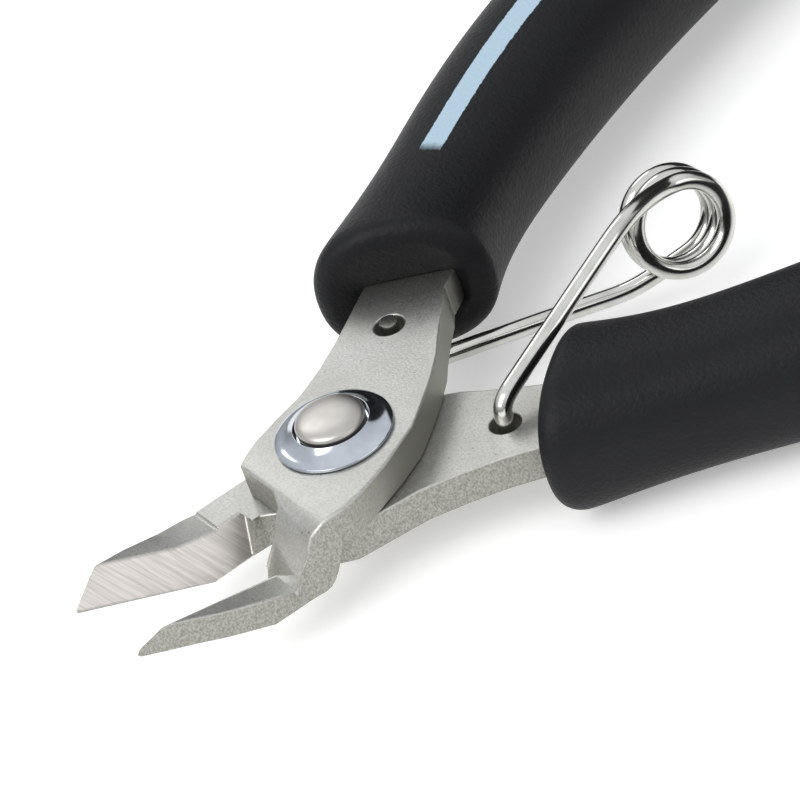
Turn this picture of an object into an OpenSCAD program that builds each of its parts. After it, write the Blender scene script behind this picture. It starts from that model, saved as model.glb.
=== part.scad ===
// Flush cutter for electronics work: two crossed steel blades on a rivet, a wire
// return spring hooked into both blades, and a soft sleeve on each handle.
// +X runs towards the handle ends, +Z along the rivet, and the origin is the
// centre of the rivet's flat back face. The cutter is drawn open.

/* [Blades] */
// Thickness of each blade plate
plate_t = 2.6; // [2.2:0.1:3]
// Gap between the two plates
plate_gap = 0.05; // [0.03:0.01:0.1]
// Upward bend of the jaws
jaw_bend = 19; // [10:1:24]
// Height of the upper blade's jaw, square to its flat underside
upper_jaw_h = 2; // [1.6:0.1:2.2]
// Height of the lower blade's jaw, square to its flat underside
lower_jaw_h = 2.4; // [2:0.1:2.5]
// Width of the steel tang inside each sleeve
tang_w = 6; // [5:0.5:7]

/* [Rivet] */
// Radius of the rivet's shank
shank_r = 2; // [1.5:0.1:2.4]
// Radius of the rounded rivet head
head_r = 2.38; // [2.2:0.02:2.5]
// Radius of the conical collar under the head
collar_r = 4; // [3.5:0.1:4.5]
// Height of the rivet head above the upper plate
head_h = 1.7; // [1.2:0.05:1.8]
// Thickness of the flat head at the back
back_head_t = 1; // [0.6:0.1:1.4]
// Running clearance between shank and upper blade, on the radius
run_gap = 0.04; // [0.02:0.01:0.1]

/* [Handles] */
// Radius of the curve that each handle follows
handle_bow = 127; // [120:1:135]
// Width of a sleeve
grip_w = 11; // [10:0.5:12]
// Thickness of a sleeve
grip_h = 10.2; // [9.5:0.1:11]
// How much a sleeve swells at the middle of the hand, as a fraction
grip_swell = 0.12; // [0:0.01:0.2]
// How much wider a sleeve's front lip is, as a fraction
lip_flare = 0.2; // [0:0.01:0.24]
// How much a sleeve narrows behind its front lip, as a fraction
neck_waist = 0.08; // [0:0.01:0.1]
// How far a sleeve's front leans in towards the other handle
front_lean = 0.4; // [0:0.1:1]
// How far the outer side of a sleeve's front reaches forward, per unit of width
front_slant = 0.35; // [0:0.05:0.4]
// How far a sleeve sits outwards of its tang
grip_shift = 0.8; // [0:0.1:1]
// How far a sleeve sits above its tang
grip_lift = 0.8; // [0:0.1:1]

/* [Spring] */
// Diameter of the spring wire
wire_d = 1.27; // [1:0.01:1.3]
// Mean radius of the coil
coil_r = 3.2; // [3:0.05:3.5]
// Distance of the coil from the rivet
coil_x = 28.5; // [27:0.5:30]
// Height of the coil's centre above the plates' meeting plane
coil_z = 0.65; // [0:0.05:1]
// Lean of the coil's axis from level
coil_lean = 14; // [0:1:18]

/* [Hidden] */
$fn = 64;

// The plates meet at this height above the rivet's back face.
meet_z = back_head_t + plate_t;
half_gap = plate_gap / 2;

// Handle curve: an arc that starts at handle_start, heading handle_dir degrees
// outwards, and ends past the parallel.
handle_start = [12, 8.4];
handle_dir = 33;
handle_end_dir = -12;
bow_centre = handle_start + handle_bow * [sin(handle_dir), -cos(handle_dir)];
tang_end_inset = 5;

// Sleeves: length along the handle's curve, end rounding and section.
sleeve_len = handle_bow * (handle_dir - handle_end_dir) * PI / 180;
front_round = 1.6;
rear_round = 4;
front_reach = 12;
neck_reach = 24;
sleeve_sides = 28;
sleeve_power = 2.3; // 2 is an ellipse, and more is squarer

// Spring holes, one in each blade, mirrored about X.
hook_pos = [8.9, 5.95];
hook_hole_r = 1.05;

// Jaws: the underside is level as far as bend_x and then rises.
bend_x = -11;
jaw_end_x = -21;
// Bevel of each jaw: how far its top edge stands back from the cutting edge.
upper_bevel_w = 0.9;
lower_bevel_w = 1.25;
// Cutting edges, from their start to the tip, in plan.
upper_edge = [[-10.55, -2.91], [-19.87, -4.17]];
lower_edge = [[-10.9, 0.76], [-20.15, 2.62]];
// The joggled neck keeps clear of the lower plate outside this radius.
sweep_r = 6.65;

// Plan of the upper blade: outer side, front edge, cutting side, then back along
// the outside of the jaw and the inside of the handle.
upper_plan = [
    [10.37, 10.92], [8.6, 9.75], [5.6, 7.75], [3.2, 6.35], [0.8, 5.25],
    [-1.6, 4.65], [-3.7, 4], [-5.8, 3], [-5.85, -0.95], [-6.4, -2.1],
    [-7.2, -2.35], [-8, -2.4], upper_edge[0], upper_edge[1], [-19.6, -4.55],
    [-17.9, -4.9], [-16, -5.25], [-14.1, -5.7], [-11, -6.1], [-9.6, -6.15],
    [-8.2, -6.1], [-7.1, -6.25], [-5.6, -6.6], [-4.2, -6.7], [-2.4, -6.4],
    [0.2, -5.5], [3.4, -4.05], [5, -2.85], [7.2, -1.1], [9.1, 0.7],
    [9.9, 1.7], [11.5, 3.5], [12.8, 4.8], [13.63, 5.88]
];

// Plan of the lower blade, in the same order, with its handle at -Y.
lower_plan = [
    [10.37, -10.92], [9.1, -10.1], [6.5, -8.6], [3.9, -7.45], [1.3, -6.5],
    [-1.4, -6.05], [-3.9, -5.65], [-4.95, -4.9], [-4.95, -0.4], [-5.9, -0.15],
    [-6.35, 0.35], [-6.7, 0.58], [-8.2, 0.7], lower_edge[0], lower_edge[1],
    [-19.8, 2.85], [-18, 3.4], [-14.9, 4.3], [-12.4, 4.75], [-10.2, 4.9],
    [-8.8, 4.8], [-7.2, 4.75], [-5.2, 4.65], [-2.4, 4.4], [0.2, 4.45],
    [3.4, 3.45], [5, 2.5], [7.2, 0.9], [9.1, -0.7], [9.9, -1.75],
    [11.5, -3.5], [12.8, -4.8], [13.63, -5.88]
];

// A height on the jaw plane that stands h above the rising underside.
function jaw_z(x, h) = -plate_t + h / cos(jaw_bend) + (bend_x - x) * tan(jaw_bend);

// Side profiles, as [x, height above the meeting plane].
tail_x = 15;
upper_side = [
    [tail_x, plate_t], [-4.8, plate_t], [-5.6, plate_t - 0.12], [-6.25, plate_t - 0.4],
    [-6.75, plate_t - 0.85], [-7.1, plate_t - 1.4], [-7.45, plate_t - 2.1],
    [-8.9, jaw_z(-8.9, upper_jaw_h)],
    [jaw_end_x, jaw_z(jaw_end_x, upper_jaw_h)], [jaw_end_x, jaw_z(jaw_end_x, 0)],
    [bend_x, -plate_t], [-7.1, -plate_t], [-6.65, -2.45], [-6.25, -2.1], [-5.85, -1.5],
    [-5.1, half_gap], [tail_x, half_gap]
];
lower_break_x = -12.2; // here the ground flat behind the jaw turns into the jaw's slope
ground_step = 0.14; // depth of that flat below the plate's face
lower_side = [
    [tail_x, -half_gap], [-9.1, -half_gap], [-9.2, -half_gap - ground_step],
    [lower_break_x, jaw_z(lower_break_x, lower_jaw_h)],
    [jaw_end_x, jaw_z(jaw_end_x, lower_jaw_h)], [jaw_end_x, jaw_z(jaw_end_x, 0)],
    [bend_x, -plate_t], [tail_x, -plate_t]
];

// A plate blank: the plan drawn through the side profile.
module blank(plan, side) {
    reach = 14;
    intersection() {
        translate([0, 0, -2 * plate_t]) linear_extrude(6 * plate_t) polygon(plan);
        translate([0, reach, 0]) rotate([90, 0, 0]) linear_extrude(2 * reach) polygon(side);
    }
}

// The wedge that is ground off above a cutting edge. side is 1 where the steel
// lies at +Y of the edge and -1 where it lies at -Y. It reaches over times the
// jaw's height.
module bevel_cut(edge, jaw_h, bevel_w, start_x, side, over) {
    run = edge[1] - edge[0];
    turn = atan2(side * run[1], -run[0]);
    lift = jaw_z(edge[0][0], 0);
    length = 14;
    tall = over * jaw_h;
    away = 4;
    back = edge[0][0] - start_x;
    translate([edge[0][0], edge[0][1], lift])
        rotate([0, jaw_bend, 0])
            rotate([0, 0, -side * turn])
                translate([-back, 0, 0])
                    rotate([90, 0, -90])
                        linear_extrude(length)
                            polygon([[0, 0], [-side * bevel_w * over, tall],
                                [side * away, tall], [side * away, 0]]);
}

// The stretch of handle from the head to the tang's end, with a given section.
module along_handle(start_turn, end_turn) {
    translate(bow_centre)
        rotate([0, 0, 90 + end_turn])
            rotate_extrude(angle = start_turn - end_turn, $fn = 360)
                translate([handle_bow, 0]) children();
}

// The steel tang of one handle, drawn for the handle at +Y.
module tang(z_low, z_high) {
    end_turn = handle_end_dir + tang_end_inset;
    along_handle(handle_dir, end_turn)
        translate([-tang_w / 2, z_low]) square([tang_w, z_high - z_low]);
}

// Size of a sleeve's section at distance d from its front end, as a factor: a lip
// at the front, a narrower neck behind it, and a swell along the hand.
function front_fade(d) = pow(max(0, 1 - d / front_reach), 2);
function neck_fade(d) = (1 + cos(180 * min(1, d / neck_reach))) / 2;
function sleeve_swell(d) = 1 + lip_flare * front_fade(d) - neck_waist * neck_fade(d)
    + grip_swell * (1 - cos(180 * min(d, sleeve_len - d) / (sleeve_len / 2))) / 2;

// How far a sleeve's surface stands in where its ends round over.
function rounded(d, r) = d >= r ? 0 : r - sqrt(r * r - (r - d) * (r - d));
function end_round(d) = rounded(d, front_round) + rounded(sleeve_len - d, rear_round);

// Distances of the rings from the front end, closer together where the ends round over.
sleeve_stations = concat(
    [for (k = [0:5]) front_round * (1 - cos(15 * k))],
    [for (k = [1:23]) front_round + (sleeve_len - front_round - rear_round) * k / 24],
    [for (k = [6:-1:0]) sleeve_len - rear_round * (1 - cos(15 * k))]
);

// One ring of the sleeve, square to the handle's curve but for the slanted front.
function sleeve_ring(d, mid_z) =
    let (out_r = end_round(d),
        half_w = grip_w / 2 * sleeve_swell(d) - out_r,
        half_h = grip_h / 2 * sleeve_swell(d) - out_r,
        shift = grip_shift - front_lean * neck_fade(d))
    [for (k = [0:sleeve_sides - 1])
        let (c = cos(360 * k / sleeve_sides), s = sin(360 * k / sleeve_sides),
            w = half_w * sign(c) * pow(abs(c), 2 / sleeve_power) + shift,
            h = half_h * sign(s) * pow(abs(s), 2 / sleeve_power),
            along = d - front_slant * w * front_fade(d),
            turn = handle_dir - along / handle_bow * 180 / PI,
            foot = bow_centre + (handle_bow + w) * [-sin(turn), cos(turn)])
        [foot[0], foot[1], mid_z + h]];

// One sleeve, drawn for the handle at +Y, with its tang pocket left out of it.
module sleeve(z_low, z_high) {
    last = len(sleeve_stations) - 1;
    n = sleeve_sides;
    points = [for (d = sleeve_stations) each sleeve_ring(d, (z_low + z_high) / 2 + grip_lift)];
    walls = [for (i = [0:last - 1], k = [0:n - 1]) let (m = (k + 1) % n)
        [i * n + k, i * n + m, (i + 1) * n + m, (i + 1) * n + k]];
    front_cap = [[for (k = [n - 1:-1:0]) k]];
    rear_cap = [[for (k = [0:n - 1]) last * n + k]];
    difference() {
        polyhedron(points, concat(walls, front_cap, rear_cap), convexity = 6);
        tang(z_low, z_high);
    }
}

module upper_blade() color("#b5b5b3")
    translate([0, 0, meet_z])
        difference() {
            union() {
                blank(upper_plan, upper_side);
                tang(half_gap, plate_t);
            }
            bevel_cut(upper_edge, upper_jaw_h, upper_bevel_w, -9.3, -1, 1.05);
            translate([0, 0, -plate_t]) cylinder(r = shank_r + run_gap, h = 3 * plate_t);
            translate([0, 0, -plate_t - 1]) cylinder(r = sweep_r, h = plate_t + 1 + half_gap, $fn = 128);
            translate([hook_pos[0], hook_pos[1], -1]) cylinder(r = hook_hole_r, h = plate_t + 2);
        }

module lower_blade() color("#b5b5b3")
    translate([0, 0, meet_z])
        difference() {
            union() {
                blank(lower_plan, lower_side);
                mirror([0, 1, 0]) tang(-plate_t, -half_gap);
            }
            bevel_cut(lower_edge, lower_jaw_h, lower_bevel_w, -8.3, 1, 1.5);
            translate([0, 0, -plate_t - 1]) cylinder(r = shank_r, h = plate_t + 2);
            translate([hook_pos[0], -hook_pos[1], -plate_t - 1]) cylinder(r = hook_hole_r, h = plate_t + 2);
        }

// Rivet: flat back head, shank, and a low rounded head over the collar.
module pivot_rivet() color("#bdb8b2") {
    top_z = meet_z + plate_t;
    edge_h = head_h - 0.35;
    rotate_extrude()
        polygon([[0, 0], [collar_r - 0.3, 0], [collar_r, 0.3], [collar_r, back_head_t],
            [shank_r, back_head_t], [shank_r, top_z + 0.85], [head_r, top_z + 0.85],
            [head_r, top_z + edge_h], [0.85 * head_r, top_z + edge_h + 0.18],
            [0.55 * head_r, top_z + head_h - 0.06], [0, top_z + head_h]]);
}

// Collar: a conical washer with a thin vertical rim.
module rivet_collar() color("#9fa6b0")
    translate([0, 0, meet_z + plate_t + plate_gap])
        rotate_extrude()
            polygon([[shank_r, 0], [collar_r, 0], [collar_r, 0.2], [collar_r - 0.25, 0.35],
                [head_r + 0.2, 0.95], [head_r + 0.1, 0.8], [shank_r, 0.8]]);

// Spring. Its coil lies across the tool. The front leg leaves the top of the coil
// and hooks down into the lower blade; the rear leg leaves the bottom and hooks up
// into the upper blade. It is drawn as two halves that meet inside the coil.
turns = 2.5;
pitch = wire_d + 0.03;
cut_turn = 1;
cut_gap_deg = 9;
ring_sides = 10;
lean_axis = [-0.15, -cos(coil_lean), sin(coil_lean)];
coil_axis = lean_axis / norm(lean_axis);
coil_up = [0, sin(coil_lean), cos(coil_lean)];
coil_side = cross(coil_axis, coil_up);

function coil_point(turn) = [coil_x, 0, meet_z + coil_z]
    + coil_axis * pitch * (turns / 2 - turn)
    + coil_r * (cos(360 * turn) * coil_up - sin(360 * turn) * coil_side);

// Legs from the hook to the coil, as points chosen on the wire's centre line.
front_leg = [
    for (p = [[8.9, -5.95, -2.3], [8.9, -5.95, -0.8], [8.92, -5.95, 0.7], [9.15, -5.88, 1.3],
        [9.8, -5.75, 1.75], [10.8, -5.52, 2.05], [16, -4.37, 3.5], [21.2, -3.22, 4.95],
        [22.6, -2.85, 5.25], [23.8, -2.45, 5.3], [25.2, -1.9, 5.1], [26.8, -1.25, 4.65]])
        p + [0, 0, meet_z]
];
rear_leg = [
    for (p = [[26.6, 1.4, -3.3], [25.2, 1.95, -3.65], [24, 2.45, -3.75], [22.6, 2.88, -3.55],
        [17, 4.17, -2.6], [11.6, 5.36, -1.75], [10.2, 5.66, -1.5], [9.3, 5.87, -1.1],
        [8.94, 5.95, -0.6], [8.9, 5.95, 0.6], [8.9, 5.95, 2.95]])
        p + [0, 0, meet_z]
];

// A tube swept along a route, built ring by ring; no part of the route runs along Y.
module wire(route) {
    last = len(route) - 1;
    function unit(v) = v / norm(v);
    function heading(i) = unit(route[min(i + 1, last)] - route[max(i - 1, 0)]);
    function across(t) = unit([0, 1, 0] - t[1] * t);
    rings = [
        for (i = [0:last]) let (t = heading(i), a = across(t), b = cross(t, a))
            for (k = [0:ring_sides - 1])
                route[i] + wire_d / 2 * (cos(360 * k / ring_sides) * a + sin(360 * k / ring_sides) * b)
    ];
    sides = [
        for (i = [0:last - 1], k = [0:ring_sides - 1]) let (n = (k + 1) % ring_sides, o = i * ring_sides)
            [o + k, o + ring_sides + k, o + ring_sides + n, o + n]
    ];
    first_cap = [[for (k = [0:ring_sides - 1]) k]];
    last_cap = [[for (k = [0:ring_sides - 1]) last * ring_sides + ring_sides - 1 - k]];
    polyhedron(rings, concat(sides, first_cap, last_cap), convexity = 6);
}

steps_per_turn = 20;
module spring_front() color("#d6d6d2") {
    coil = [for (i = [0:steps_per_turn * cut_turn]) coil_point(i / steps_per_turn)];
    wire(concat(front_leg, coil));
}

module spring_rear() color("#d6d6d2") {
    start = cut_turn + cut_gap_deg / 360;
    count = steps_per_turn * (turns - cut_turn);
    coil = [for (i = [0:count]) coil_point(start + (turns - start) * i / count)];
    wire(concat(coil, rear_leg));
}

module upper_grip() color("#26272a")
    translate([0, 0, meet_z]) sleeve(half_gap, plate_t);

module lower_grip() color("#26272a")
    translate([0, 0, meet_z]) mirror([0, 1, 0]) sleeve(-plate_t, -half_gap);

upper_blade();
lower_blade();
pivot_rivet();
rivet_collar();
spring_front();
spring_rear();
upper_grip();
lower_grip();
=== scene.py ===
"""Flush cutter: the looks of its blades, rivet, collar, spring and sleeves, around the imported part."""

from math import atan2, cos, pi, radians, sin

import bmesh
import bpy
from bpy.props import FloatProperty, FloatVectorProperty, IntProperty, PointerProperty
from mathutils import Matrix, Vector


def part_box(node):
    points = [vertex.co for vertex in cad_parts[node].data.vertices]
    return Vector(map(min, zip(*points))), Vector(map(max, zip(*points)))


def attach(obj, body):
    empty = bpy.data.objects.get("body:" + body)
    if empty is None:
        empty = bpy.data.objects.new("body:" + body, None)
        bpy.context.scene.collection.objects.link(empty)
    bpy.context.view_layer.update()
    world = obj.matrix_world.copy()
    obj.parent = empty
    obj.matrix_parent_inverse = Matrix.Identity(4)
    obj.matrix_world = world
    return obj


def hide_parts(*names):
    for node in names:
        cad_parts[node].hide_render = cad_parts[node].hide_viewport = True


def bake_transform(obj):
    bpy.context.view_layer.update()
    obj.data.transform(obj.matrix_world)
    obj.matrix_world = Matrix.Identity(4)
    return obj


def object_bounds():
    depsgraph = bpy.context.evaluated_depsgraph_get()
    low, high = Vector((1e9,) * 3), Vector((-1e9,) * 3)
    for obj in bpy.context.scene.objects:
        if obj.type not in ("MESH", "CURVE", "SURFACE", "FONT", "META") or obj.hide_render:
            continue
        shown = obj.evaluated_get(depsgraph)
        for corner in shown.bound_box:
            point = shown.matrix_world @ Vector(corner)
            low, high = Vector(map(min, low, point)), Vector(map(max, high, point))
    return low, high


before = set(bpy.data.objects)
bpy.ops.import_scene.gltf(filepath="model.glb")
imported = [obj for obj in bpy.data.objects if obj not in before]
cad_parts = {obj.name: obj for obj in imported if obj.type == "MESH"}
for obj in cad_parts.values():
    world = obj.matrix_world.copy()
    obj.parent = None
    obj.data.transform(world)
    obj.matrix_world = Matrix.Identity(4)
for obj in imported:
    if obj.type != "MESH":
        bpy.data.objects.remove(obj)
CAD_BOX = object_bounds()

bl_info = {
    "name": "Flush Cutter",
    "version": (1, 0, 0),
    "blender": (4, 5, 0),
    "location": "View3D > Sidebar > Cutter",
    "description": "Makes a spring-opened flush cutter and a plain stage for it",
    "category": "Add Mesh",
}

MM = 0.001
PREFIX = "cutter_"

# The plates meet this far above the rivet's flat back: a 1 mm head and a 2.6 mm plate.
PLATE_T = 2.6 * MM
RIVET_BACK_T = 1 * MM
PLATES_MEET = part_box("pivot_rivet")[0].z + RIVET_BACK_T + PLATE_T


def linear(hex_colour):
    """An sRGB hex colour as the linear RGB that shaders use."""
    channels = [int(hex_colour[i:i + 2], 16) / 255 for i in (1, 3, 5)]
    return tuple(c / 12.92 if c <= 0.04045 else ((c + 0.055) / 1.055) ** 2.4 for c in channels)


# ---------------------------------------------------------------- settings

class BladeSettings(bpy.types.PropertyGroup):
    edge_round: FloatProperty(
        name="Edge round", description="Radius left on the plates' edges by tumbling",
        default=0.15 * MM, unit="LENGTH")
    coining: FloatProperty(
        name="Coining", description="How many times rounder the outside of the upper neck is",
        default=2.0, min=1)
    face_colour: FloatVectorProperty(
        name="Face colour", description="Bead-blasted faces of the plates",
        subtype="COLOR", default=linear("#C6C6C2"))
    side_colour: FloatVectorProperty(
        name="Side colour", description="Sheared sides, left as blanked",
        subtype="COLOR", default=linear("#A3A29B"))
    ground_colour: FloatVectorProperty(
        name="Ground colour", description="Bevels ground on the jaws",
        subtype="COLOR", default=linear("#D2CDC9"))
    blast_grain: FloatProperty(
        name="Blast grain",
        description="Spacing of the blasted speckle, drawn coarser than the real 0.05 mm so that it shows",
        default=0.16 * MM, unit="LENGTH")


class RivetSettings(bpy.types.PropertyGroup):
    crown: FloatProperty(
        name="Crown", description="Height of the head's dome", default=0.6 * MM, unit="LENGTH")
    dome_power: FloatProperty(
        name="Dome power", description="Fullness of the dome: 2 is an ellipse, and more is flatter",
        default=2.6)
    head_radius: FloatProperty(
        name="Head radius", description="Radius of the rounded head", default=2.38 * MM, unit="LENGTH")
    shank_radius: FloatProperty(
        name="Shank radius", description="Radius of the shank", default=2.0 * MM, unit="LENGTH")
    steel_colour: FloatVectorProperty(
        name="Rivet colour", description="Satin rivet steel, slightly warm",
        subtype="COLOR", default=linear("#BFBCB8"))
    collar_colour: FloatVectorProperty(
        name="Collar colour", description="Polished collar", subtype="COLOR", default=linear("#C3C8D1"))
    steps: IntProperty(name="Steps", description="Steps of a full turn", default=96, min=24)


class SpringSettings(bpy.types.PropertyGroup):
    wire: FloatProperty(name="Wire", description="Diameter of the wire", default=1.27 * MM, unit="LENGTH")
    coil_radius: FloatProperty(
        name="Coil radius", description="Mean radius of the coil", default=3.2 * MM, unit="LENGTH")
    coil_gap: FloatProperty(
        name="Coil gap", description="Gap between two turns", default=0.03 * MM, unit="LENGTH")
    colour: FloatVectorProperty(
        name="Wire colour", description="Drawn stainless wire", subtype="COLOR", default=linear("#D6D6D2"))


class SleeveSettings(bpy.types.PropertyGroup):
    sides: IntProperty(name="Sides", description="Sides of a ring", default=40, min=16)
    dish: FloatProperty(
        name="Dish", description="How deep the front face is dished towards the steel",
        default=0.9 * MM, unit="LENGTH")
    colour: FloatVectorProperty(
        name="Sleeve colour", description="Dipped and moulded vinyl",
        subtype="COLOR", default=linear("#0D0E10"))
    mark_colour: FloatVectorProperty(
        name="Stripe colour", description="Plain printed stripe", subtype="COLOR", default=linear("#A5BCCB"))
    grain: FloatProperty(
        name="Grain", description="Spacing of the moulded grain", default=0.3 * MM, unit="LENGTH")


class StageSettings(bpy.types.PropertyGroup):
    azimuth: FloatProperty(
        name="Azimuth", description="Camera's azimuth", subtype="ANGLE", default=radians(-24))
    elevation: FloatProperty(
        name="Elevation", description="Camera's height above level", subtype="ANGLE", default=radians(36.85))
    roll: FloatProperty(name="Roll", description="Camera's roll", subtype="ANGLE", default=radians(-20.13))
    distance: FloatProperty(name="Distance", description="Camera to rivet", default=0.3, unit="LENGTH")
    lens: FloatProperty(name="Lens", description="Focal length in millimetres", default=209.45)
    aim_right: FloatProperty(
        name="Aim right", description="How far right of the rivet the camera aims",
        default=4.21 * MM, unit="LENGTH")
    aim_up: FloatProperty(
        name="Aim up", description="How far above the rivet the camera aims",
        default=2.11 * MM, unit="LENGTH")
    floor_colour: FloatVectorProperty(
        name="Floor colour", description="Pale floor", subtype="COLOR", default=linear("#F4F4F3"))


class CutterSettings(bpy.types.PropertyGroup):
    blade: PointerProperty(type=BladeSettings)
    rivet: PointerProperty(type=RivetSettings)
    spring: PointerProperty(type=SpringSettings)
    sleeve: PointerProperty(type=SleeveSettings)
    stage: PointerProperty(type=StageSettings)


# ---------------------------------------------------------------- materials

def add(tree, kind, inputs=None, **settings):
    """Adds a shader node: an input that is a socket is linked, and any other is a value."""
    node = tree.nodes.new("ShaderNode" + kind)
    for name, value in settings.items():
        setattr(node, name, value)
    for key, value in (inputs or {}).items():
        if isinstance(value, bpy.types.NodeSocket):
            tree.links.new(value, node.inputs[key])
        else:
            node.inputs[key].default_value = value
    return node


def new_material(name):
    """An empty material with its output, ready for nodes."""
    material = bpy.data.materials.new(name)
    material.use_nodes = True
    tree = material.node_tree
    tree.nodes.clear()
    return material, tree, tree.nodes.new("ShaderNodeOutputMaterial")


def opaque(colour):
    return (*colour, 1.0)


# The colour and result sockets of a Mix node set to RGBA.
MIX_A, MIX_B, MIX_RESULT = 6, 7, 2


def blasted_steel(settings):
    """Tool steel plate, tumbled and bead-blasted: an even satin grey with a fine dark speckle.
    Its sides are left as sheared, so they are duller, greener and mottled along the plate's thickness."""
    material, tree, out = new_material("bead_blasted_tool_steel")
    place = add(tree, "TexCoord").outputs["Object"]
    speckle = add(tree, "TexNoise", {"Vector": place, "Scale": 1 / settings.blast_grain,
                                     "Detail": 3.0, "Roughness": 0.6})
    stain = add(tree, "TexNoise", {"Vector": place, "Scale": 1 / (3.5 * MM),
                                   "Detail": 4.0, "Roughness": 0.55})
    pit = add(tree, "TexVoronoi", {"Vector": place, "Scale": 1 / (1.1 * MM)}, feature="F1")
    facing = add(tree, "SeparateXYZ", {"Vector": add(tree, "NewGeometry").outputs["Normal"]}).outputs["Z"]
    steep = add(tree, "Math", {0: facing}, operation="ABSOLUTE").outputs[0]
    side = add(tree, "MapRange", {"Value": steep, "From Min": 0.25, "From Max": 0.6,
                                  "To Min": 1.0, "To Max": 0.0}).outputs[0]

    dark = add(tree, "MapRange", {"Value": speckle.outputs["Fac"],
                                  "From Min": 0.3, "From Max": 0.6}).outputs[0]
    flat = add(tree, "Mix", {0: dark, MIX_A: opaque([c * 0.72 for c in settings.face_colour]),
                             MIX_B: opaque(settings.face_colour)}, data_type="RGBA")
    cloud = add(tree, "MapRange", {"Value": stain.outputs["Fac"], "From Min": 0.35, "From Max": 0.65,
                                   "To Min": 0.0, "To Max": 0.35}).outputs[0]
    clouded = add(tree, "Mix", {0: cloud, MIX_A: flat.outputs[MIX_RESULT],
                                MIX_B: opaque(linear("#A6A39D"))}, data_type="RGBA")
    spot = add(tree, "MapRange", {"Value": pit.outputs["Distance"], "From Min": 0.05, "From Max": 0.09,
                                  "To Min": 0.5, "To Max": 0.0}).outputs[0]
    spotted = add(tree, "Mix", {0: spot, MIX_A: clouded.outputs[MIX_RESULT],
                                MIX_B: opaque(linear("#5E5C58"))}, data_type="RGBA")

    # The torn grain of a sheared side. Behind the neck, the upper plate's side is burnished instead.
    drawn = add(tree, "Mapping", {"Vector": place, "Scale": (1.0, 1.0, 0.7)})
    mottle = add(tree, "TexNoise", {"Vector": drawn.outputs[0], "Scale": 1 / (0.14 * MM),
                                    "Detail": 3.0, "Roughness": 0.6})
    spot_at = add(tree, "SeparateXYZ", {"Vector": place})
    behind = add(tree, "MapRange", {"Value": spot_at.outputs["X"],
                                    "From Min": -5 * MM, "From Max": 0.0}).outputs[0]
    above = add(tree, "Math", {0: spot_at.outputs["Z"], 1: PLATES_MEET}, operation="GREATER_THAN").outputs[0]
    burnish = add(tree, "Math", {0: behind, 1: above}, operation="MULTIPLY").outputs[0]
    torn = add(tree, "MapRange", {"Value": mottle.outputs["Fac"],
                                  "From Min": 0.36, "From Max": 0.62}).outputs[0]
    coarse = add(tree, "Mix", {0: burnish, 2: torn, 3: 0.35}, data_type="FLOAT").outputs[0]
    torn_tone = [c * 0.7 for c in settings.side_colour]
    bright_tone = [min(1, c * 1.15) for c in settings.side_colour]
    sheared = add(tree, "Mix", {0: coarse, MIX_A: opaque(torn_tone), MIX_B: opaque(bright_tone)},
                  data_type="RGBA")
    colour = add(tree, "Mix", {0: side, MIX_A: spotted.outputs[MIX_RESULT],
                               MIX_B: sheared.outputs[MIX_RESULT]}, data_type="RGBA")

    satin = add(tree, "MapRange", {"Value": speckle.outputs["Fac"],
                                   "To Min": 0.34, "To Max": 0.5}).outputs[0]
    rough = add(tree, "Mix", {0: side, 2: satin, 3: 0.55}, data_type="FLOAT").outputs[0]
    height = add(tree, "Mix", {0: side, 2: speckle.outputs["Fac"], 3: mottle.outputs["Fac"]},
                 data_type="FLOAT").outputs[0]
    bump = add(tree, "Bump", {"Height": height, "Strength": 0.55, "Distance": 0.035 * MM})
    steel = add(tree, "BsdfPrincipled", {"Base Color": colour.outputs[MIX_RESULT], "Metallic": 1.0,
                                         "Roughness": rough, "Normal": bump.outputs[0]})
    tree.links.new(steel.outputs[0], out.inputs[0])
    return material


def ground_steel(settings):
    """The same steel after the wheel: bright, with fine straight grinding lines across the bevel.
    The lines are drawn 0.16 mm apart, coarser than a wheel leaves them, so that they show."""
    material, tree, out = new_material("surface_ground_steel")
    place = add(tree, "TexCoord").outputs["Object"]
    across = add(tree, "Mapping", {"Vector": place, "Rotation": (0.0, radians(-28), radians(5)),
                                   "Scale": (1.0, 25.0, 25.0)}, vector_type="TEXTURE")
    lines = add(tree, "TexNoise", {"Vector": across.outputs[0], "Scale": 1 / (0.16 * MM),
                                   "Detail": 3.0, "Roughness": 0.6})
    tone = add(tree, "MapRange", {"Value": lines.outputs["Fac"],
                                  "From Min": 0.35, "From Max": 0.65}).outputs[0]
    colour = add(tree, "Mix", {0: tone, MIX_A: opaque([c * 0.74 for c in settings.ground_colour]),
                               MIX_B: opaque(settings.ground_colour)}, data_type="RGBA")
    bump = add(tree, "Bump", {"Height": lines.outputs["Fac"], "Strength": 0.4, "Distance": 0.01 * MM})
    steel = add(tree, "BsdfPrincipled", {"Base Color": colour.outputs[MIX_RESULT], "Metallic": 1.0,
                                         "Roughness": 0.36, "Normal": bump.outputs[0]})
    tree.links.new(steel.outputs[0], out.inputs[0])
    return material


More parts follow.
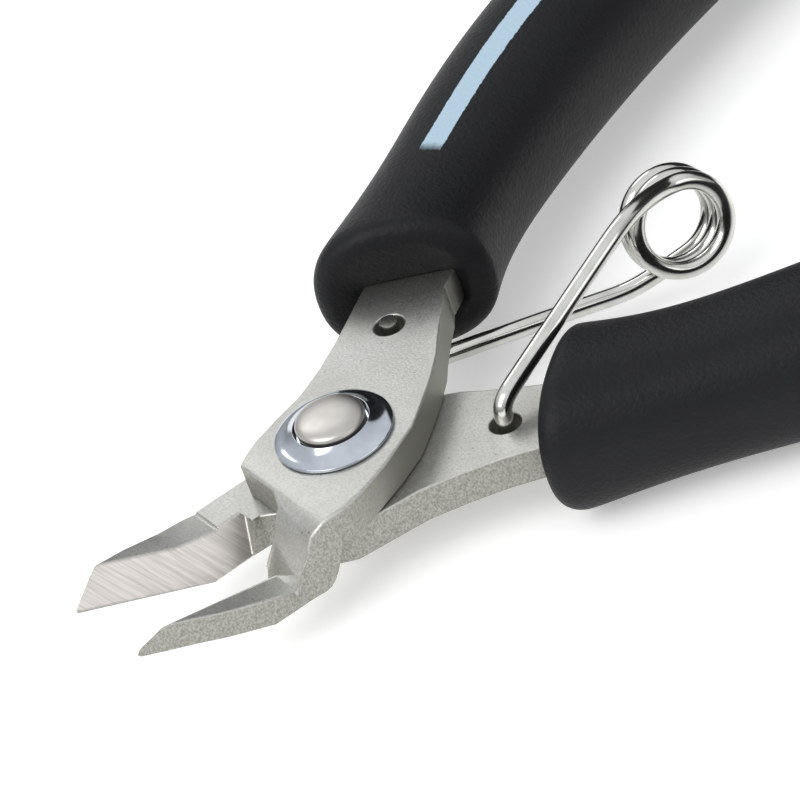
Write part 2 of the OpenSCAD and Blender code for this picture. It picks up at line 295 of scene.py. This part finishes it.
def polished_metal(name, colour, roughness, scratch_mm, stain_colour):
    """Turned or drawn steel, from satin to near-mirror, with faint stains and hairline scratches."""
    material, tree, out = new_material(name)
    place = add(tree, "TexCoord").outputs["Object"]
    hair = add(tree, "TexNoise", {"Vector": place, "Scale": 1 / (scratch_mm * MM), "Detail": 3.0})
    haze = add(tree, "TexNoise", {"Vector": place, "Scale": 1 / (2.2 * MM), "Detail": 3.0})
    film = add(tree, "MapRange", {"Value": haze.outputs["Fac"], "From Min": 0.4, "From Max": 0.7,
                                  "To Min": 0.0, "To Max": 0.45}).outputs[0]
    tone = add(tree, "Mix", {0: film, MIX_A: opaque(colour), MIX_B: opaque(stain_colour)}, data_type="RGBA")
    rough = add(tree, "MapRange", {"Value": haze.outputs["Fac"], "To Min": roughness * 0.7,
                                   "To Max": roughness * 1.4}).outputs[0]
    bump = add(tree, "Bump", {"Height": hair.outputs["Fac"], "Strength": 0.12, "Distance": 0.01 * MM})
    metal = add(tree, "BsdfPrincipled", {"Base Color": tone.outputs[MIX_RESULT], "Metallic": 1.0,
                                         "Roughness": rough, "Normal": bump.outputs[0]})
    tree.links.new(metal.outputs[0], out.inputs[0])
    return material


def moulded_vinyl(settings, name, striped):
    """Soft PVC sleeve: matt near-black with a fine moulded grain that breaks up its broad highlight.
    One sleeve carries a plain printed stripe, worn at its edges."""
    material, tree, out = new_material(name)
    coordinates = add(tree, "TexCoord")
    place = coordinates.outputs["Object"]
    grain = add(tree, "TexNoise", {"Vector": place, "Scale": 1 / settings.grain,
                                   "Detail": 2.0, "Roughness": 0.55})
    broad = add(tree, "TexNoise", {"Vector": place, "Scale": 1 / (9 * MM), "Detail": 3.0})
    scuff = add(tree, "MapRange", {"Value": broad.outputs["Fac"],
                                   "From Min": 0.4, "From Max": 0.7}).outputs[0]
    scuffed = [c * 1.35 for c in settings.colour]
    base = add(tree, "Mix", {0: scuff, MIX_A: opaque(settings.colour), MIX_B: opaque(scuffed)},
               data_type="RGBA").outputs[MIX_RESULT]
    rough = add(tree, "MapRange", {"Value": grain.outputs["Fac"], "To Min": 0.4, "To Max": 0.6}).outputs[0]
    if striped:
        on_print = add(tree, "UVMap", uv_map="sleeve").outputs[0]
        parts = add(tree, "SeparateXYZ", {"Vector": on_print})
        middle, half_long, half_wide = 26 * MM, 17 * MM, 0.02
        apart_long = add(tree, "Math", {0: parts.outputs["X"], 1: middle}, operation="SUBTRACT").outputs[0]
        apart_wide = add(tree, "Math", {0: parts.outputs["Y"], 1: 0.25}, operation="SUBTRACT").outputs[0]
        masks = []
        for apart, half, wear in ((apart_long, half_long, 0.01), (apart_wide, half_wide, 0.12)):
            worn = add(tree, "MapRange", {"Value": grain.outputs["Fac"],
                                          "To Min": -wear, "To Max": wear}).outputs[0]
            size = add(tree, "Math", {0: apart}, operation="ABSOLUTE").outputs[0]
            share = add(tree, "Math", {0: size, 1: half}, operation="DIVIDE").outputs[0]
            rubbed = add(tree, "Math", {0: share, 1: worn}, operation="ADD").outputs[0]
            masks.append(add(tree, "MapRange", {"Value": rubbed, "From Min": 0.95, "From Max": 1.0,
                                                "To Min": 1.0, "To Max": 0.0}).outputs[0])
        mask = add(tree, "Math", {0: masks[0], 1: masks[1]}, operation="MULTIPLY").outputs[0]
        base = add(tree, "Mix", {0: mask, MIX_A: base, MIX_B: opaque(settings.mark_colour)},
                   data_type="RGBA").outputs[MIX_RESULT]
    bump = add(tree, "Bump", {"Height": grain.outputs["Fac"], "Strength": 0.8, "Distance": 0.08 * MM})
    vinyl = add(tree, "BsdfPrincipled", {"Base Color": base, "Roughness": rough, "IOR": 1.53,
                                         "Specular IOR Level": 0.2, "Normal": bump.outputs[0]})
    tree.links.new(vinyl.outputs[0], out.inputs[0])
    return material


# ---------------------------------------------------------------- mesh helpers

def put(name, bm, materials, sharp=radians(40)):
    """Makes a finished bmesh an object at the origin, smooth but for its sharp edges."""
    mesh = bpy.data.meshes.new(name)
    bm.to_mesh(mesh)
    bm.free()
    for material in materials:
        mesh.materials.append(material)
    mesh.shade_smooth()
    mesh.set_sharp_from_angle(angle=sharp)
    piece = bpy.data.objects.new(name, mesh)
    bpy.context.scene.collection.objects.link(piece)
    return piece


def turned(profile, steps):
    """A solid of revolution about Z from its profile, a list of (radius, height)."""
    bm = bmesh.new()
    verts = [bm.verts.new((r, 0, z)) for r, z in profile]
    edges = [bm.edges.new(pair) for pair in zip(verts, verts[1:])]
    bmesh.ops.spin(bm, geom=verts + edges, axis=(0, 0, 1), cent=(0, 0, 0), angle=2 * pi,
                   steps=steps, use_merge=True)
    bmesh.ops.remove_doubles(bm, verts=bm.verts, dist=1e-7)
    bmesh.ops.recalc_face_normals(bm, faces=bm.faces)
    return bm


def finish_piece(piece, body, slot, *nodes):
    """Ties a piece to its body and hides the CAD nodes that it stands for; the slot is not used."""
    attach(piece, body)
    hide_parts(*nodes)


# ---------------------------------------------------------------- pieces

class CUTTER_OT_blades(bpy.types.Operator):
    """Makes the two blades: the plates with rounded edges, and their ground bevels"""
    bl_idname = "cutter.blades"
    bl_label = "Blades"

    # The jaws lie ahead of this X, and their ground faces slope both up and sideways.
    JAW_X = -10 * MM
    SLOPE = 0.25
    # The outer side of the upper neck, which is coined rounder: a range of X, a limit in Y, and a depth.
    COINED_X, COINED_Y, COINED_DEPTH = (-12 * MM, 1 * MM), -3.2 * MM, 1.6 * MM
    # Under the upper neck the cut for the lower plate leaves slivers that a bevel would fold over.
    NECK_X, NECK_TOP = (-9.4 * MM, -4.9 * MM), 0.1 * MM

    def execute(self, context):
        settings = context.scene.flush_cutter.blade
        steels = [blasted_steel(settings), ground_steel(settings)]
        for node, body in (("upper_blade", "upper_half"), ("lower_blade", "lower_half")):
            bm = bmesh.new()
            bm.from_mesh(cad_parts[node].data)
            bmesh.ops.remove_doubles(bm, verts=bm.verts, dist=1e-6)
            bmesh.ops.dissolve_limit(bm, angle_limit=radians(0.4), verts=bm.verts, edges=bm.edges)
            bmesh.ops.dissolve_degenerate(bm, edges=bm.edges, dist=0.1 * MM)
            for face in bm.faces:
                middle, normal = face.calc_center_median(), face.normal
                sloped = normal.z > self.SLOPE and abs(normal.y) > self.SLOPE
                face.material_index = 1 if middle.x < self.JAW_X and sloped else 0
            weight = bm.edges.layers.float.new("bevel_weight_edge")
            full_width = settings.edge_round * settings.coining
            for edge in bm.edges:
                if not edge.is_manifold or edge.calc_face_angle() < radians(25):
                    continue
                spot = (edge.verts[0].co + edge.verts[1].co) / 2
                upper = node == "upper_blade"
                under_neck = (self.NECK_X[0] < spot.x < self.NECK_X[1]
                              and spot.z < PLATES_MEET + self.NECK_TOP)
                if upper and under_neck:
                    continue
                coined = (self.COINED_X[0] < spot.x < self.COINED_X[1] and spot.y < self.COINED_Y
                          and spot.z > PLATES_MEET - self.COINED_DEPTH)
                edge[weight] = 1.0 if upper and coined else 1 / settings.coining
            piece = put(PREFIX + node, bm, steels)
            bevel = piece.modifiers.new("edge round", "BEVEL")
            bevel.width = full_width
            bevel.segments = 4
            bevel.limit_method = "WEIGHT"
            bevel.use_clamp_overlap = False
            bevel.harden_normals = True
            finish_piece(piece, body, "blade_steel", node)
        return {"FINISHED"}


class CUTTER_OT_rivet(bpy.types.Operator):
    """Makes the rivet: flat back head, shank and domed head"""
    bl_idname = "cutter.rivet"
    bl_label = "Rivet"

    def execute(self, context):
        settings = context.scene.flush_cutter.rivet
        low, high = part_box("pivot_rivet")
        back_r = high.x
        crown_z = high.z - settings.crown
        count = 14
        power = 2 / settings.dome_power
        dome = [(settings.head_radius * cos(pi / 2 * k / count) ** power,
                 crown_z + settings.crown * sin(pi / 2 * k / count) ** power) for k in range(count)]
        chamfer = 0.3 * MM
        under_head = crown_z - 0.4 * MM
        draft = 0.05 * MM
        profile = [(0, low.z), (back_r - chamfer, low.z), (back_r, low.z + chamfer),
                   (back_r, low.z + RIVET_BACK_T), (settings.shank_radius, low.z + RIVET_BACK_T),
                   (settings.shank_radius, under_head), (settings.head_radius - draft, under_head),
                   *dome, (0, high.z)]
        steel = polished_metal("satin_rivet_steel", settings.steel_colour, 0.34, 0.2, linear("#A8A49E"))
        piece = put(PREFIX + "rivet", turned(profile, settings.steps), [steel])
        finish_piece(piece, "lower_half", "rivet_steel", "pivot_rivet")
        return {"FINISHED"}


class CUTTER_OT_collar(bpy.types.Operator):
    """Makes the conical collar under the rivet's head"""
    bl_idname = "cutter.collar"
    bl_label = "Collar"

    def execute(self, context):
        settings = context.scene.flush_cutter.rivet
        low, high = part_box("rivet_collar")
        rim_t = 0.2 * MM
        lip = 0.25 * MM
        top_r = settings.head_radius + 0.2 * MM
        foot_z = low.z + rim_t + 0.15 * MM
        run, rise = high.x - lip - top_r, high.z - foot_z
        count = 8
        # A slightly hollow cone: it sags below its straight slope by this share of its rise.
        sag = 0.16
        cone = [(high.x - lip - run * k / count,
                 foot_z + rise * (k / count - sag * sin(pi * k / count))) for k in range(count + 1)]
        seat_z = high.z - 0.5 * MM
        seat_r = top_r - 0.1 * MM
        profile = [(settings.shank_radius, low.z), (high.x, low.z), (high.x, low.z + rim_t), *cone,
                   (seat_r, seat_z), (settings.shank_radius, seat_z), (settings.shank_radius, low.z)]
        steel = polished_metal("polished_collar_steel", settings.collar_colour, 0.12, 0.3, linear("#8E949E"))
        piece = put(PREFIX + "collar", turned(profile, settings.steps), [steel])
        bevel = piece.modifiers.new("edge round", "BEVEL")
        bevel.width = 0.04 * MM
        bevel.segments = 2
        bevel.limit_method = "ANGLE"
        bevel.angle_limit = radians(35)
        finish_piece(piece, "lower_half", "collar_steel", "rivet_collar")
        return {"FINISHED"}


class CUTTER_OT_spring(bpy.types.Operator):
    """Makes the return spring as one bent wire"""
    bl_idname = "cutter.spring"
    bl_label = "Spring"

    # Middle line of each leg, in millimetres from the rivet and the plates' meeting plane.
    FRONT_LEG = [(8.9, -5.95, -2.3), (8.9, -5.95, -0.8), (8.92, -5.95, 0.7), (9.15, -5.88, 1.3),
                 (9.8, -5.75, 1.75), (10.8, -5.52, 2.05), (16, -4.37, 3.5), (21.2, -3.22, 4.95),
                 (22.6, -2.85, 5.25), (23.8, -2.45, 5.3), (25.2, -1.9, 5.1), (26.8, -1.25, 4.65)]
    REAR_LEG = [(26.6, 1.4, -3.3), (25.2, 1.95, -3.65), (24, 2.45, -3.75), (22.6, 2.88, -3.55),
                (17, 4.17, -2.6), (11.6, 5.36, -1.75), (10.2, 5.66, -1.5), (9.3, 5.87, -1.1),
                (8.94, 5.95, -0.6), (8.9, 5.95, 0.6), (8.9, 5.95, 2.95)]
    TURNS = 2.5
    LEAN = radians(14)
    CENTRE = Vector((28.5, 0, 0.65)) * MM
    END_ROUND = 0.45 * MM

    def route(self, settings):
        """The wire's middle line: front leg, coil, rear leg."""
        lift = Vector((0, 0, PLATES_MEET))
        axis = Vector((-0.15, -cos(self.LEAN), sin(self.LEAN))).normalized()
        up = Vector((0, sin(self.LEAN), cos(self.LEAN)))
        side = axis.cross(up)
        pitch = settings.wire + settings.coil_gap
        steps = 24
        coil = []
        for k in range(int(self.TURNS * steps) + 1):
            turn = k / steps
            coil.append(self.CENTRE + lift + axis * pitch * (self.TURNS / 2 - turn)
                        + settings.coil_radius * (cos(2 * pi * turn) * up - sin(2 * pi * turn) * side))
        front = [Vector(p) * MM + lift for p in self.FRONT_LEG]
        rear = [Vector(p) * MM + lift for p in self.REAR_LEG]
        return front + coil + rear

    def execute(self, context):
        settings = context.scene.flush_cutter.spring
        points = self.route(settings)
        curve = bpy.data.curves.new(PREFIX + "spring_line", "CURVE")
        curve.dimensions = "3D"
        curve.bevel_depth = settings.wire / 2
        curve.bevel_resolution = 6
        curve.use_fill_caps = True
        curve.resolution_u = 5
        spline = curve.splines.new("NURBS")
        spline.points.add(len(points) - 1)
        for spot, point in zip(spline.points, points):
            spot.co = (*point, 1.0)
        spline.order_u = 4
        spline.use_endpoint_u = True
        line = bpy.data.objects.new(PREFIX + "spring_line", curve)
        context.scene.collection.objects.link(line)
        context.view_layer.update()
        mesh = bpy.data.meshes.new_from_object(line.evaluated_get(context.evaluated_depsgraph_get()))
        bpy.data.objects.remove(line)

        bm = bmesh.new()
        bm.from_mesh(mesh)
        bpy.data.meshes.remove(mesh)
        bmesh.ops.remove_doubles(bm, verts=bm.verts, dist=1e-7)
        caps = [face for face in bm.faces if len(face.verts) > 4]
        rim = list({edge for face in caps for edge in face.edges})
        bmesh.ops.bevel(bm, geom=rim, offset=self.END_ROUND, segments=6, profile=0.5,
                        affect="EDGES", material=-1)
        bmesh.ops.recalc_face_normals(bm, faces=bm.faces)
        wire = polished_metal("drawn_stainless_wire", settings.colour, 0.14, 0.25, linear("#A9A8A2"))
        piece = put(PREFIX + "spring", bm, [wire])
        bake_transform(piece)
        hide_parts("spring_front", "spring_rear")
        return {"FINISHED"}


class CUTTER_OT_sleeves(bpy.types.Operator):
    """Makes the two sleeves: a rounded lip, a dished front around the tang and a swell for the hand"""
    bl_idname = "cutter.sleeves"
    bl_label = "Sleeves"

    BOW = 127 * MM
    START = Vector((12, 8.4)) * MM
    START_TURN = radians(33)
    END_TURN = radians(-12)
    WIDTH, HEIGHT = 11 * MM, 10.2 * MM
    SWELL, FLARE, WAIST = 0.12, 0.2, 0.08
    SLANT, LEAN, SHIFT = 0.35, 0.4 * MM, 0.8 * MM
    FRONT_REACH, NECK_REACH = 12 * MM, 24 * MM
    FRONT_ROUND, REAR_ROUND = 1.6 * MM, 4 * MM
    POWER = 2.3
    TANG = Vector((5.96, 2.52)) * MM
    TANG_DROP = 0.8 * MM

    def length(self):
        return self.BOW * (self.START_TURN - self.END_TURN)

    def front_fade(self, d):
        return max(0, 1 - d / self.FRONT_REACH) ** 2

    def neck_fade(self, d):
        return (1 + cos(pi * min(1, max(0, d) / self.NECK_REACH))) / 2

    def swell(self, d):
        near = min(d, self.length() - d)
        return (1 + self.FLARE * self.front_fade(d) - self.WAIST * self.neck_fade(d)
                + self.SWELL * (1 - cos(2 * pi * near / self.length())) / 2)

    def stations(self, dish):
        """Rings from inside the front to the rear end.
        Each is a distance along, an inset, and a share of the tang's outline."""
        deep = 2.5 * MM
        rings = [(deep, 0.0, 1.0), (dish, 0.0, 1.0)]
        rings += [(dish * fall, self.FRONT_ROUND, share)
                  for share, fall in ((0.93, 0.97), (0.75, 0.72), (0.5, 0.42), (0.25, 0.16), (0.1, 0.04))]
        for k in range(7):
            angle = radians(15 * k)
            rings.append((self.FRONT_ROUND * (1 - cos(angle)), self.FRONT_ROUND * (1 - sin(angle)), 0.0))
        span = self.length() - self.FRONT_ROUND - self.REAR_ROUND
        rings += [(self.FRONT_ROUND + span * k / 32, 0.0, 0.0) for k in range(1, 32)]
        for k in range(6, -1, -1):
            angle = radians(15 * k)
            rings.append((self.length() - self.REAR_ROUND * (1 - cos(angle)),
                          self.REAR_ROUND * (1 - sin(angle)), 0.0))
        return rings

    def point(self, angle, station, mid_z, side):
        """A point on a ring: the sleeve's section, drawn in towards the tang's outline."""
        d, inset, share = station
        size = self.swell(d if share == 0 else 0)

        def outline(half_w, half_h, power):
            c, s = cos(angle), sin(angle)
            return (half_w * (1 if c >= 0 else -1) * abs(c) ** (2 / power),
                    half_h * (1 if s >= 0 else -1) * abs(s) ** (2 / power))

        w, h = outline(self.WIDTH / 2 * size - inset, self.HEIGHT / 2 * size - inset, self.POWER)
        w += self.SHIFT - self.LEAN * self.neck_fade(0 if share else d)
        tang_w, tang_h = outline(self.TANG.x / 2, self.TANG.y / 2, 9)
        w += share * (tang_w - w)
        h += share * (tang_h - self.TANG_DROP - h)
        along = d - self.SLANT * w * self.front_fade(0 if share else d)
        turn = self.START_TURN - along / self.BOW
        centre = self.START + self.BOW * Vector((sin(self.START_TURN), -cos(self.START_TURN)))
        foot = centre + (self.BOW + w) * Vector((-sin(turn), cos(turn)))
        return Vector((foot.x, side * foot.y, mid_z + h))

    def execute(self, context):
        settings = context.scene.flush_cutter.sleeve
        halves = (("upper_grip", "upper_half", 1, True), ("lower_grip", "lower_half", -1, False))
        for node, body, side, striped in halves:
            low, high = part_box(node)
            mid_z = (low.z + high.z) / 2
            bm = bmesh.new()
            place = bm.verts.layers.int.new("place")
            row = bm.verts.layers.float.new("row")
            ring = bmesh.ops.create_circle(bm, segments=settings.sides, radius=1.0)["verts"]
            for k, vert in enumerate(sorted(ring, key=lambda v: atan2(v.co.y, v.co.x) % (2 * pi))):
                vert[place] = k
            edges = list(bm.edges)
            stations = self.stations(settings.dish)
            for i, station in enumerate(stations):
                if i:
                    made = bmesh.ops.extrude_edge_only(bm, edges=edges)["geom"]
                    ring = [g for g in made if isinstance(g, bmesh.types.BMVert)]
                    edges = [g for g in made if isinstance(g, bmesh.types.BMEdge)
                             and all(v in ring for v in g.verts)]
                for vert in ring:
                    angle = 2 * pi * vert[place] / settings.sides
                    vert.co = self.point(angle, station, mid_z, side)
                    vert[row] = station[0] if station[2] == 0 else -MM
            bmesh.ops.holes_fill(bm, edges=[e for e in bm.edges if e.is_boundary], sides=0)
            bmesh.ops.recalc_face_normals(bm, faces=bm.faces)
            uv = bm.loops.layers.uv.new("sleeve")
            for face in bm.faces:
                places = [loop.vert[place] for loop in face.loops]
                wraps = max(places) - min(places) > settings.sides / 2
                for loop, k in zip(face.loops, places):
                    turn = settings.sides if wraps and k == 0 else k
                    loop[uv].uv = (loop.vert[row], turn / settings.sides)
            name = "printed_moulded_vinyl" if striped else "moulded_vinyl"
            piece = put(PREFIX + node, bm, [moulded_vinyl(settings, name, striped)], sharp=radians(180))
            smooth = piece.modifiers.new("smooth", "SUBSURF")
            smooth.levels = smooth.render_levels = 2
            finish_piece(piece, body, "sleeve", node)
        return {"FINISHED"}


class CUTTER_OT_stage(bpy.types.Operator):
    """Sets the floor, the lights and the camera"""
    bl_idname = "cutter.stage"
    bl_label = "Stage"

    def camera(self, context, settings):
        a, e, r = settings.azimuth, settings.elevation, settings.roll
        back = Vector((sin(a) * cos(e), -cos(a) * cos(e), sin(e)))
        right = Vector((cos(a), sin(a), 0))
        up = back.cross(right)
        rolled_right = cos(r) * right + sin(r) * up
        rolled_up = -sin(r) * right + cos(r) * up
        pivot = Vector((0, 0, PLATES_MEET + PLATE_T))
        aim = pivot + settings.aim_right * rolled_right + settings.aim_up * rolled_up
        data = bpy.data.cameras.new("camera")
        data.lens = settings.lens
        data.sensor_width = 36
        data.clip_start = 0.01
        data.clip_end = 20
        camera = bpy.data.objects.new("camera", data)
        turn = Matrix((rolled_right, rolled_up, back)).transposed().to_4x4()
        camera.matrix_world = Matrix.Translation(aim + settings.distance * back) @ turn
        context.scene.collection.objects.link(camera)
        context.scene.camera = camera
        return pivot

    def light(self, context, target, name, spot, size, power):
        data = bpy.data.lights.new(name, "AREA")
        data.shape = "RECTANGLE"
        data.size, data.size_y = size
        data.energy = power
        lamp = bpy.data.objects.new(name, data)
        lamp.location = Vector(spot)
        lamp.rotation_euler = (target - lamp.location).to_track_quat("-Z", "Y").to_euler()
        context.scene.collection.objects.link(lamp)

    def execute(self, context):
        settings = context.scene.flush_cutter.stage
        pivot = self.camera(context, settings)
        bm = bmesh.new()
        bmesh.ops.create_grid(bm, x_segments=2, y_segments=2, size=2.5)
        bmesh.ops.translate(bm, vec=(0, 0, CAD_BOX[0][2] - 0.05 * MM), verts=bm.verts)
        material, tree, out = new_material("matt_white_board")
        place = add(tree, "TexCoord").outputs["Object"]
        fibre = add(tree, "TexNoise", {"Vector": place, "Scale": 1 / (1.5 * MM), "Detail": 2.0})
        board = add(tree, "MapRange", {"Value": fibre.outputs["Fac"],
                                       "To Min": 0.85, "To Max": 0.95}).outputs[0]
        # The board glows a little, as a light table does, which keeps the shadows on it pale.
        white = opaque(settings.floor_colour)
        paper = add(tree, "BsdfPrincipled", {"Base Color": white, "Roughness": board,
                                             "Emission Color": white, "Emission Strength": 0.3})
        tree.links.new(paper.outputs[0], out.inputs[0])
        floor = put("floor", bm, [material])

        world = bpy.data.worlds.new("studio")
        world.use_nodes = True
        studio, sky = world.node_tree, world.node_tree.nodes["Background"]
        around = add(studio, "TexCoord").outputs["Generated"]
        height = add(studio, "SeparateXYZ", {"Vector": around}).outputs["Z"]
        glow = add(studio, "MapRange", {"Value": height, "From Min": 0.0, "From Max": 0.8,
                                        "To Min": 0.38, "To Max": 1.0}).outputs[0]
        studio.links.new(glow, sky.inputs["Strength"])
        sky.inputs["Color"].default_value = (0.97, 0.985, 1.0, 1.0)
        context.scene.world = world
        context.scene.view_settings.view_transform = "Standard"

        # Each lamp's name, place, size and power, in metres and watts.
        for lamp in (("key", (-0.55, -0.15, 0.6), (0.6, 0.6), 3.4),
                     ("fill", (0.22, -0.62, 0.22), (0.5, 0.3), 0.5),
                     ("rim", (0.12, 0.66, 0.6), (0.45, 0.25), 0.7)):
            self.light(context, pivot, *lamp)

        # A black flag to the right, seen only in reflections, as is used to shape polished metal.
        bm = bmesh.new()
        bmesh.ops.create_grid(bm, x_segments=1, y_segments=1, size=0.5)
        bmesh.ops.scale(bm, vec=(1.0, 0.55, 1.0), verts=bm.verts)
        turn = Vector((-1.0, -0.35, 0.1)).to_track_quat("Z", "Y").to_matrix().to_4x4()
        bmesh.ops.transform(bm, matrix=Matrix.Translation((0.5, 0.18, 0.12)) @ turn, verts=bm.verts)
        black, tree, out = new_material("black_felt")
        felt = add(tree, "BsdfPrincipled", {"Base Color": opaque(linear("#0A0A0A")), "Roughness": 1.0})
        tree.links.new(felt.outputs[0], out.inputs[0])
        flag = put("flag", bm, [black])
        flag.visible_camera = flag.visible_diffuse = flag.visible_shadow = False
        return {"FINISHED"}


class CUTTER_PT_panel(bpy.types.Panel):
    """Lists what makes the cutter"""
    bl_idname = "CUTTER_PT_panel"
    bl_label = "Flush cutter"
    bl_space_type = "VIEW_3D"
    bl_region_type = "UI"
    bl_category = "Cutter"

    def draw(self, context):
        for operator in OPERATORS:
            self.layout.operator(operator.bl_idname)


OPERATORS = (CUTTER_OT_blades, CUTTER_OT_rivet, CUTTER_OT_collar, CUTTER_OT_spring,
             CUTTER_OT_sleeves, CUTTER_OT_stage)
GROUPS = (BladeSettings, RivetSettings, SpringSettings, SleeveSettings, StageSettings, CutterSettings)


def register():
    for cls in (*GROUPS, *OPERATORS, CUTTER_PT_panel):
        bpy.utils.register_class(cls)
    bpy.types.Scene.flush_cutter = PointerProperty(type=CutterSettings)


def unregister():
    del bpy.types.Scene.flush_cutter
    for cls in reversed((*GROUPS, *OPERATORS, CUTTER_PT_panel)):
        bpy.utils.unregister_class(cls)


def main():
    register()
    bpy.ops.cutter.blades()
    bpy.ops.cutter.rivet()
    bpy.ops.cutter.collar()
    bpy.ops.cutter.spring()
    bpy.ops.cutter.sleeves()
    bpy.ops.cutter.stage()


if __name__ == "__main__":
    main()
